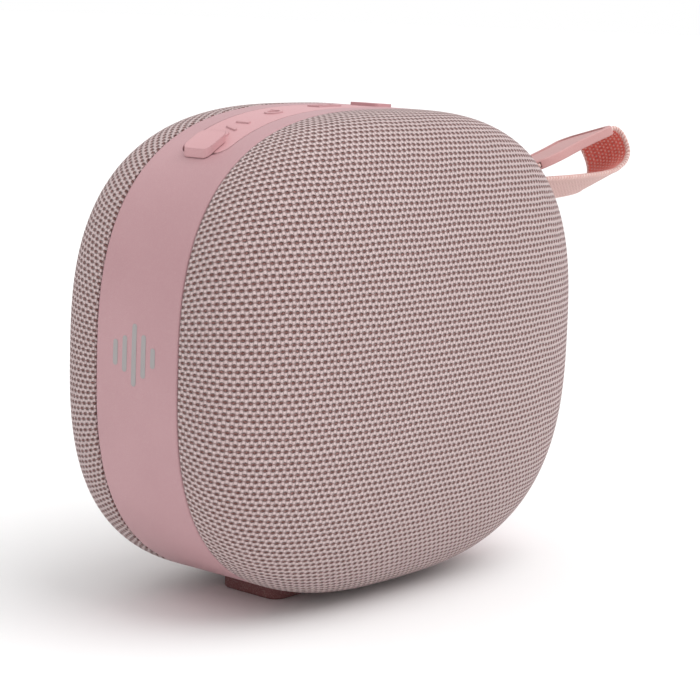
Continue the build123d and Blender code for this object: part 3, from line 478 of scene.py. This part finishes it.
def tracks(name, slot):
    """Green board with copper tracks under the lacquer."""
    finish = Finish(name, slot)
    spot = finish.place()
    x, z = finish.part(spot, "X"), finish.part(spot, "Z")
    lanes = finish.noise(260.0, 0.0, 0.0)
    lane = abs((x + lanes * 0.004).near(LANE_PITCH)).ramp(0.00030, 0.00022)
    crossing = abs((z + lanes * 0.006).near(CROSSING_PITCH)).ramp(0.00034, 0.00024)
    copper = lane.math("MAXIMUM", lane * lanes.ramp(0.50, 0.54),
                       crossing * lanes.ramp(0.50, 0.46))
    finish.set(Base_Color=finish.blend(copper, paint(22, 78, 48), paint(52, 120, 70)),
               Roughness=0.38 + finish.noise(700.0) * 0.1,
               Normal=finish.bump(copper, 0.00003, 0.6))
    return finish


finishes = {finish.slot: finish for finish in (
    *plastics, cloth_finish,
    matt("seal_rubber", "black_rubber", paint(32, 31, 32), paint(44, 42, 43), 0.75),
    metal("screw_steel", "steel_screws", paint(150, 150, 155), paint(120, 121, 126), 0.32),
    metal("basket_enamel", "basket_metal", paint(58, 58, 62), paint(46, 46, 50), 0.48),
    metal("plated_steel", "plated_steel", paint(190, 188, 184), paint(165, 164, 162), 0.28),
    matt("magnet_ferrite", "magnet_dark", paint(38, 38, 42), paint(54, 53, 56), 0.55, 2400.0),
    metal("coil_copper", "coil_copper", paint(196, 112, 72), paint(170, 92, 58), 0.3,
          (1, 40, 1)),
    matt("cone_paper", "cone_black", paint(28, 28, 30), paint(42, 41, 43), 0.85, 2600.0,
         0.00006),
    matt("spider_cloth", "spider_cloth", paint(196, 150, 74), paint(170, 126, 58), 0.9, 3200.0),
    matt("cell_sleeve", "cell_sleeve", paint(60, 108, 168), paint(52, 96, 152), 0.32, 300.0),
    tracks("board_lacquer", "board_green"),
    matt("chip_resin", "chip_black", paint(26, 26, 28), paint(38, 38, 40), 0.5, 3000.0),
    matt("lead_sleeve", "lead_wire", paint(150, 34, 34), paint(122, 26, 28), 0.42, 900.0),
)}
print(len(finishes), "slots have a finish")

# %% [markdown]
# ## The strap's webbing
# The strap is one flat woven tape, 12 mm wide, that leaves the grip, turns round a steel bar
# inside the housing, runs out below and bends back up to the grip. Its outer face is a fine
# twill, and its inner face is a plain weave with pale knots in a grid, in a redder tone that is
# partly its own and partly painted shade and painted reflection from inside the loop. Tape
# isn't simulated. A grid is laid along the tape's line instead, and its two long edges meet, so
# the tape has real thickness and thick stitched selvages.

# %% Webbing line
bar_low, bar_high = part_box("strap_bar")
bar = Vector(((bar_low[0] + bar_high[0]) / 2, 0, (bar_low[2] + bar_high[2]) / 2))
GRIP_NEAR, GRIP_FAR = (14.7, 0.7, 1.55, 17), (43.7, 2.0, 8.55, 17)  # the grip's two ends
STEPS_PER_PLACE = 40
# each place is X, Y and Z from the bar in mm, and the tape's roll in degrees
TAPE_LINE = [
    (28.0, 1.3, 4.76, 17), (21.0, 0.98, 3.07, 17), GRIP_NEAR, (9.2, 0.45, 1.6, 11),
    (3.7, 0.2, 1.6, 5), (0.0, 0.0, 1.65, 0), (-1.17, 0, 1.17, 0), (-1.65, 0, 0, 0),
    (-1.17, 0, -1.17, 0), (0.0, 0, -1.65, 0), (3.5, -0.1, -1.7, 3), (8.5, -0.4, -1.9, 11),
    (14.6, -0.9, -2.0, 26), (23.9, -1.5, -2.05, 29), (33.0, -1.9, -1.8, 29),
    (37.4, -2.0, -1.5, 29), (40.9, -1.9, -1.1, 29), (43.3, -1.7, -0.35, 29), (45.5, -1.3, 0.6, 28),
    (47.0, -0.8, 1.8, 26.5), (47.9, -0.3, 3.0, 25), (48.25, 0.3, 4.3, 24), (48.0, 1.0, 6.05, 22),
    (47.2, 1.6, 7.5, 20), (45.7, 1.95, 8.5, 18), GRIP_FAR, (37.0, 1.7, 6.93, 17),
    (29.8, 1.38, 5.2, 17),
]


def tape_points(step=0.30):
    """Points at even steps along a smooth curve through the tape's places: x, y, z, roll."""
    fine = []
    for k in range(len(TAPE_LINE) - 1):
        a, b = TAPE_LINE[max(k - 1, 0)], TAPE_LINE[k]
        c, d = TAPE_LINE[k + 1], TAPE_LINE[min(k + 2, len(TAPE_LINE) - 1)]
        for part in range(STEPS_PER_PLACE):
            t = part / STEPS_PER_PLACE
            fine.append([0.5 * (2 * b[n] + (c[n] - a[n]) * t
                                + (2 * a[n] - 5 * b[n] + 4 * c[n] - d[n]) * t * t
                                + (3 * b[n] - a[n] - 3 * c[n] + d[n]) * t ** 3)
                         for n in range(4)])
    fine.append(list(TAPE_LINE[-1]))
    even, travelled, goal = [fine[0]], 0.0, step
    for before, after in zip(fine, fine[1:]):
        travelled += hypot(*[after[n] - before[n] for n in range(3)])
        if travelled >= goal:
            even.append(after)
            goal += step
    return even, travelled


tape, tape_length = tape_points()
print("tape length, mm:", round(tape_length, 1), "in", len(tape), "stations")

# %% Webbing finishes
SELVAGE = (5.15, 5.4)  # mm from the middle line, where the stitched edge fades in
STITCH_PITCH = 0.95  # mm between the edge's stitches
TWILL_PITCH, TWILL_BEND, THREAD_PITCH = 0.86, 2.4, 0.6  # mm, outer face
KNOT_PITCH, KNOT_ROW_PITCH = 0.92, 0.86  # mm along and across, inner face
WEAVE_SHEEN = 0.2


def tape_weave(name):
    """A webbing finish with its place along and across the tape, and its stitched edges."""
    finish = Finish(name, "webbing")
    flat = finish.node("UVMap", {"uv_map": "tape"})
    u, v = finish.part(flat, "X"), finish.part(flat, "Y")
    selvage = abs(v).ramp(*SELVAGE)
    stitch = abs((u + v * 0.8).near(STITCH_PITCH)).ramp(0.16, 0.40)
    finish.set(Sheen_Weight=WEAVE_SHEEN)
    return finish, flat, u, v, selvage, stitch


def twill_finish():
    """Outer face: a fine slanting twill with stitched edges."""
    twill, flat, u, v, selvage, stitch = tape_weave("webbing_outside")
    ridge = abs((u * 0.8 + abs(v.near(TWILL_BEND)) * 1.2).near(TWILL_PITCH)).ramp(0.08, 0.36)
    thread = abs(v.near(THREAD_PITCH)).ramp(0.03, 0.24)
    fibre = twill.noise(7.0, 2.0, 0.6, flat)
    body_tone = twill.blend(ridge * 0.7 + thread * 0.3, paint(196, 150, 143),
                            paint(220, 182, 175))
    edge_tone = twill.blend(stitch, paint(232, 200, 193), paint(212, 156, 147))
    tone = twill.blend(selvage, body_tone, edge_tone)
    relief = (1 - selvage) * (ridge * 0.7 + thread * 0.5) + selvage * (1.2 - stitch)
    twill.set(Base_Color=twill.blend(fibre.ramp(0.5, 0.8) * 0.3, tone, paint(244, 222, 216)),
              Roughness=0.66 + fibre * 0.15, Normal=twill.bump(relief, 0.00012))
    return twill


def knots_finish():
    """Inner face: a warm red weave with pale knots in a grid; the red is partly the weave's own
    tone and partly painted shade and painted reflection from inside the loop.
    """
    weave, flat, u, v, selvage, stitch = tape_weave("webbing_inside")
    row = (v / KNOT_ROW_PITCH + 0.5).floor()
    shifted = u + row.math("PINGPONG", row, 1.0) * 0.5
    knot = 1 - ((shifted.near(KNOT_PITCH) / 0.27) ** 2
                + (v.near(KNOT_ROW_PITCH) / 0.24) ** 2).ramp(0.4, 1.5)
    ridge = abs(u.near(KNOT_PITCH)).ramp(0.05, 0.42)
    fibre = weave.noise(6.0, 2.0, 0.6, flat)
    # the red ground is partly the weave's own tone and partly painted shade and painted reflection
    # from the loop's inside
    ground = weave.blend(ridge * 0.6 + fibre * 0.4, paint(214, 88, 75), paint(228, 122, 109))
    face = weave.blend(knot * 0.8, ground, paint(244, 194, 184))
    edge_tone = weave.blend(stitch, paint(234, 202, 195), paint(214, 156, 147))
    weave.set(Base_Color=weave.blend(selvage, face, edge_tone), Roughness=0.62 + fibre * 0.2,
              Normal=weave.bump(knot + ridge * 0.5 + selvage * (1 - stitch), 0.00014))
    return weave


outer_tape, inner_tape = twill_finish(), knots_finish()
finishes["webbing"] = outer_tape
print("webbing outside:", len(outer_tape.tree.nodes), "nodes, inside:",
      len(inner_tape.tree.nodes), "nodes")

# %% Webbing mesh
TAPE_HALF = 6.0  # mm, half the width
ROUNDED, BEAD_TO = 0.5, 0.9  # mm from the edge: where rounding and the bead end
BEAD_HALF, FLAT_HALF = 0.5, 0.42  # mm, half the thickness of the bead and of the flat middle
ACROSS = [-6.0, -5.9, -5.6, -5.25, -4.95, -4.0, -3.0, -2.0, -1.0, 0.0,
          1.0, 2.0, 3.0, 4.0, 4.95, 5.25, 5.6, 5.9, 6.0]


def half_thickness(across):
    """Half the tape's thickness at a place across it: flat, with a bead along each edge."""
    edge = TAPE_HALF - abs(across)
    if edge <= 0:
        return 0.0
    if edge < ROUNDED:
        return BEAD_HALF * (1 - (1 - edge / ROUNDED) ** 2) ** 0.5
    return BEAD_HALF if edge < BEAD_TO else FLAT_HALF


loop_places = [(a, half_thickness(a)) for a in ACROSS]
loop_places += [(a, -half_thickness(a)) for a in reversed(ACROSS[1:-1])] + [(ACROSS[0], 0.0)]


def tape_mesh():
    rows, columns = len(tape) - 1, len(loop_places) - 1
    bm = bmesh.new()
    bmesh.ops.create_grid(bm, x_segments=rows, y_segments=columns, size=1.0)
    flat = bm.loops.layers.uv.new("tape")
    place = {}
    for vertex in bm.verts:
        i = round((vertex.co.x + 1) / 2 * rows)
        j = round((vertex.co.y + 1) / 2 * columns)
        place[vertex] = (i, j)
    for face in bm.faces:
        for loop in face.loops:
            i, j = place[loop.vert]
            loop[flat].uv = (i * tape_length / rows, loop_places[j][0])
        inner = sum(loop_places[place[loop.vert][1]][1] for loop in face.loops) > 0
        face.material_index = 1 if inner else 0
    for vertex, (i, j) in place.items():
        x, y, z, roll_here = tape[i]
        before, after = tape[max(i - 2, 0)], tape[min(i + 2, rows)]
        along = Vector([after[n] - before[n] for n in range(3)]).normalized()
        width = Vector((0, cos(radians(roll_here)), -sin(radians(roll_here))))
        width = (width - along * width.dot(along)).normalized()
        out = along.cross(width)
        across, thick = loop_places[j]
        vertex.co = bar + (Vector((x, y, z)) + width * across + out * thick) * MM
    bmesh.ops.remove_doubles(bm, verts=bm.verts[:], dist=1e-6)
    ends = [edge for edge in bm.edges if edge.is_boundary]
    bmesh.ops.holes_fill(bm, edges=ends, sides=0)
    bmesh.ops.recalc_face_normals(bm, faces=bm.faces[:])
    return bm


finished(tape_mesh(), "wrist_webbing", "strap", [outer_tape, inner_tape],
         replaced=["strap_webbing"])

# %% [markdown]
# ## The printed mark
# The left flank carries a small grey print. A generic sign, five bars of different heights like
# a sound level, takes its place. Each bar is a capped circle whose upper half is moved up, cut
# into slices and laid on the flank, a hair proud of it, so it follows the flank's curve.

# %% Printed sound bars
print_finish = matt("print_grey", "shell_plastic", paint(170, 164, 164), paint(160, 156, 156),
                    0.5, 5000.0, 0.000004)
BAR_HEIGHTS = (3.6, 7.6, 11.0, 6.4, 4.6)  # mm
BAR_WIDTH, BAR_PITCH = 1.15, 2.3  # mm
BAR_CORNERS = 20
MARK_Y, MARK_Z = 0.5, 2.3  # mm, middle of the print from the body's centre
SLICES = range(-5, 6)  # mm, heights of the cuts that let the bars bend with the flank
PRINT_PROUD = 0.02  # mm


def flank_x(height_here):
    """Distance of the outline's flank from the middle at a height from the body's centre."""
    share = (abs(height_here) / half_height) ** OUTLINE_POWER
    return half_width * (1 - share) ** (1 / OUTLINE_POWER)


def sound_bars():
    bm = bmesh.new()
    for k, tall in enumerate(BAR_HEIGHTS):
        made = bmesh.ops.create_circle(bm, cap_ends=True, segments=BAR_CORNERS,
                                       radius=BAR_WIDTH / 2)
        for vertex in made["verts"]:
            lift = (tall - BAR_WIDTH) / 2
            vertex.co.y += lift if vertex.co.y > 0 else -lift
            vertex.co.x += (k - len(BAR_HEIGHTS) // 2) * BAR_PITCH
    for level in SLICES:
        bmesh.ops.bisect_plane(bm, geom=bm.verts[:] + bm.edges[:] + bm.faces[:],
                               plane_co=(0, level, 0), plane_no=(0, 1, 0))
    for vertex in bm.verts:
        across, rise = vertex.co.x + MARK_Y, vertex.co.y + MARK_Z
        vertex.co = Vector((-(flank_x(rise) + PRINT_PROUD) * MM, across * MM,
                            (centre_z + rise) * MM))
    bmesh.ops.recalc_face_normals(bm, faces=bm.faces[:])
    if sum(face.normal.x for face in bm.faces) > 0:
        bmesh.ops.reverse_faces(bm, faces=bm.faces[:])
    return bm


finished(sound_bars(), "sound_mark", "root", [print_finish], smooth=False)

# %% [markdown]
# ## Signs on the keys
# Four round keys on the right flank carry a raised plus, triangle, minus and ring. Each sign is
# drawn flat, from a capped circle or a line spun into a ring, and extruded. The keys' faces
# follow the flank, so every vertex is cast sideways onto its key, and the sign hugs it. A font
# would be quicker, but these signs need only bars and rings.

# %% Key signs
PLUS_CORNERS = [(1.5, -0.35), (1.5, 0.35), (0.35, 0.35), (0.35, 1.5), (-0.35, 1.5), (-0.35, 0.35),
                (-1.5, 0.35), (-1.5, -0.35), (-0.35, -0.35), (-0.35, -1.5), (0.35, -1.5),
                (0.35, -0.35)]  # mm
MINUS_LONG, MINUS_WIDE, BAR_END_CORNERS = 3.0, 0.7, 16
PLAY_RADIUS = 1.7  # mm
RING_INNER, RING_OUTER, RING_STEPS = 1.0, 1.6, 32
SIGN_THICK, SIGN_SUNK = 0.35, 0.2  # mm, of which the second is inside the key
sign_finish = moulded("key_sign", "key_plastic", paint(232, 204, 202), paint(226, 196, 194), 0.5)


def key_sign(key_name, draw):
    key_low, key_high = (Vector(corner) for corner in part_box(key_name))
    key_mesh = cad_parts[key_name].data
    surface = BVHTree.FromPolygons([vertex.co for vertex in key_mesh.vertices],
                                   [face.vertices for face in key_mesh.polygons])
    bm = bmesh.new()
    draw(bm)
    raised = bmesh.ops.extrude_face_region(bm, geom=bm.faces[:])
    for item in raised["geom"]:
        if isinstance(item, bmesh.types.BMVert):
            item.co.z += SIGN_THICK
    bmesh.ops.recalc_face_normals(bm, faces=bm.faces[:])
    middle = (key_low + key_high) / 2
    for vertex in bm.verts:
        across, rise, lift = vertex.co
        spot = Vector((2 * key_high.x, middle.y + across * MM, middle.z + rise * MM))
        touched = surface.ray_cast(spot, Vector((-1, 0, 0)))[0]
        vertex.co = Vector((touched.x + (lift - SIGN_SUNK) * MM, spot.y, spot.z))
    finished(bm, key_name.replace("_button", "_sign"), key_name, [sign_finish], smooth=False)


def plus_sign(bm):
    made = bmesh.ops.create_circle(bm, cap_ends=True, segments=len(PLUS_CORNERS), radius=1.0)
    for vertex, (across, rise) in zip(made["verts"], PLUS_CORNERS):
        vertex.co.x, vertex.co.y = across, rise


def minus_sign(bm):
    made = bmesh.ops.create_circle(bm, cap_ends=True, segments=BAR_END_CORNERS,
                                   radius=MINUS_WIDE / 2,
                                   matrix=Matrix.Rotation(pi / BAR_END_CORNERS, 4, "Z"))
    stretch = (MINUS_LONG - MINUS_WIDE) / 2
    for vertex in made["verts"]:
        vertex.co.x += stretch if vertex.co.x > 0 else -stretch


def play_sign(bm):
    bmesh.ops.create_circle(bm, cap_ends=True, segments=3, radius=PLAY_RADIUS,
                            matrix=Matrix.Rotation(-pi / 2, 4, "Z"))


def ring_sign(bm):
    ends = [bm.verts.new((radius, 0, 0)) for radius in (RING_INNER, RING_OUTER)]
    side = bm.edges.new(ends)
    bmesh.ops.spin(bm, geom=ends + [side], cent=(0, 0, 0), axis=(0, 0, 1), dvec=(0, 0, 0),
                   angle=2 * pi, steps=RING_STEPS, use_merge=True, use_duplicate=False)
    bmesh.ops.remove_doubles(bm, verts=bm.verts[:], dist=0.001)


for key_name, draw in (("volume_up_button", plus_sign), ("play_button", play_sign),
                       ("volume_down_button", minus_sign), ("pairing_button", ring_sign)):
    key_sign(key_name, draw)

# %% [markdown]
# ## Finishes on the carried-over nodes
# Each CAD node comes in with a plain stand-in material that is named for its slot. One loop
# swaps every stand-in for the finish of the same slot. The nodes' meshes aren't touched.

# %% Dress the CAD nodes
dressed = 0
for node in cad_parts.values():
    for place in range(len(node.data.materials)):
        slot_name = node.data.materials[place].name.split(".")[0]
        if slot_name in finishes:
            node.data.materials[place] = finishes[slot_name].material
            dressed += 1
print(dressed, "of", len(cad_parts), "nodes dressed")

# %% [markdown]
# ## Floor and light
# A plain pale floor runs out of sight. One wide sun from above and a little to the right gives
# soft shade down the flanks, and a sky fills it. The camera sees the sky at full white, while
# the pieces are lit by one that dims towards the horizon, so the background stays plain without
# washing out the shape.
# The Standard view keeps the colours of the finishes as they were mixed.

# %% Floor
FLOOR_HALF = 12.0  # m
floor_mesh = bmesh.new()
bmesh.ops.create_grid(floor_mesh, x_segments=1, y_segments=1, size=FLOOR_HALF)
floor_data = bpy.data.meshes.new("floor")
floor_mesh.to_mesh(floor_data)
floor_mesh.free()
floor = bpy.data.objects.new("floor", floor_data)
bpy.context.scene.collection.objects.link(floor)
floor_finish = Finish("floor_paper", "shell_plastic")
floor_finish.set(Base_Color=paint(250, 250, 250), Roughness=0.95)
floor_data.materials.append(floor_finish.material)
print("floor is", 2 * FLOOR_HALF, "m across")

# %% Sun
SUN_FROM, SUN_SPREAD, SUN_POWER = (0.30, -0.50, 1.0), 55.0, 1.35  # spread in degrees
sun_data = bpy.data.lights.new("studio_sun", "SUN")
sun_data.angle, sun_data.energy = radians(SUN_SPREAD), SUN_POWER
sun = bpy.data.objects.new("studio_sun", sun_data)
sun.rotation_mode = "QUATERNION"
sun.rotation_quaternion = Vector(SUN_FROM).to_track_quat("Z", "Y")
bpy.context.scene.collection.objects.link(sun)
print("sun of", SUN_POWER, "spread over", SUN_SPREAD, "degrees")

# %% Sky
SKY_LOW, SKY_HIGH, SKY_SEEN = 0.50, 1.05, 1.0  # at the horizon, overhead, and to the camera
WHITE = (1, 1, 1, 1)
world = bpy.data.worlds.new("studio")
world.use_nodes = True
sky = world.node_tree
sky.nodes["Background"].inputs["Color"].default_value = WHITE
overhead = sky.nodes.new("ShaderNodeSeparateXYZ")
where = sky.nodes.new("ShaderNodeTexCoord")
fade = sky.nodes.new("ShaderNodeMapRange")
fade.inputs["From Min"].default_value, fade.inputs["From Max"].default_value = 0.0, 1.0
fade.inputs["To Min"].default_value, fade.inputs["To Max"].default_value = SKY_LOW, SKY_HIGH
sky.links.new(where.outputs["Generated"], overhead.inputs[0])
sky.links.new(overhead.outputs["Z"], fade.inputs["Value"])
sky.links.new(fade.outputs[0], sky.nodes["Background"].inputs["Strength"])
seen = sky.nodes.new("ShaderNodeBackground")
seen.inputs["Strength"].default_value = SKY_SEEN
seen.inputs["Color"].default_value = WHITE
choose = sky.nodes.new("ShaderNodeMixShader")
ray = sky.nodes.new("ShaderNodeLightPath")
sky.links.new(ray.outputs["Is Camera Ray"], choose.inputs[0])
sky.links.new(sky.nodes["Background"].outputs[0], choose.inputs[1])
sky.links.new(seen.outputs[0], choose.inputs[2])
sky.links.new(choose.outputs[0], sky.nodes["World Output"].inputs["Surface"])
bpy.context.scene.world = world
bpy.context.scene.view_settings.view_transform = "Standard"
print("sky:", SKY_LOW, "to", SKY_HIGH, "on the pieces,", SKY_SEEN, "to the camera")
